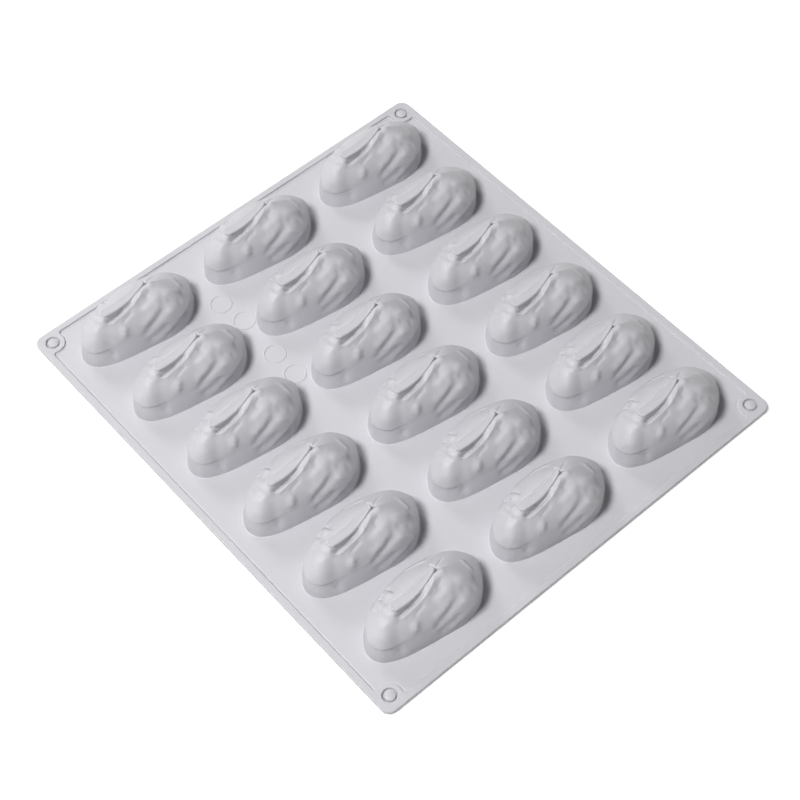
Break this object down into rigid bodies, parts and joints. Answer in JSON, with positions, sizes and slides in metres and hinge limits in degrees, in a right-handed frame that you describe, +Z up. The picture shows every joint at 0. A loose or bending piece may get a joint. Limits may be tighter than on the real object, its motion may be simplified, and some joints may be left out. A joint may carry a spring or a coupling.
{
  "type": "silicone cake mould",
  "caption": "Flexible silicone baking mould, a flat rectangular tray with rows of hollow pistachio-shaped cavities, resting open face down on its rim.",
  "frame": {"origin": "middle of the footprint on the open face that the tray lies on", "axes": "+X along the long side across the rows, +Y from the noses of the nuts to their tails, +Z up through the closed backs of the cavities"},
  "size_m": [0.332, 0.3, 0.032],
  "materials": {
    "silicone": "satin",
    "silicone_matte": "matt"
  },
  "bodies": {
    "root": {"rim_band": "silicone", "corner_pads": "silicone", "deck_sheet": "silicone", "nut_shell_1_1": "silicone", "nut_shell_1_2": "silicone", "nut_shell_1_3": "silicone", "nut_shell_1_4": "silicone", "nut_shell_1_5": "silicone", "nut_shell_1_6": "silicone", "nut_shell_2_1": "silicone", "nut_shell_2_2": "silicone", "nut_shell_2_3": "silicone", "nut_shell_2_4": "silicone", "nut_shell_2_5": "silicone", "nut_shell_2_6": "silicone", "nut_shell_3_1": "silicone", "nut_shell_3_2": "silicone", "nut_shell_3_3": "silicone", "nut_shell_3_4": "silicone", "nut_shell_3_5": "silicone", "nut_shell_3_6": "silicone", "foot_blade_1_1": "silicone_matte", "foot_blade_1_2": "silicone_matte", "foot_blade_1_3": "silicone_matte", "foot_blade_1_4": "silicone_matte", "foot_blade_1_5": "silicone_matte", "foot_blade_1_6": "silicone_matte", "foot_blade_2_1": "silicone_matte", "foot_blade_2_2": "silicone_matte", "foot_blade_2_3": "silicone_matte", "foot_blade_2_4": "silicone_matte", "foot_blade_2_5": "silicone_matte", "foot_blade_2_6": "silicone_matte", "foot_blade_3_1": "silicone_matte", "foot_blade_3_2": "silicone_matte", "foot_blade_3_3": "silicone_matte", "foot_blade_3_4": "silicone_matte", "foot_blade_3_5": "silicone_matte", "foot_blade_3_6": "silicone_matte"}
  },
  "joints": []
}
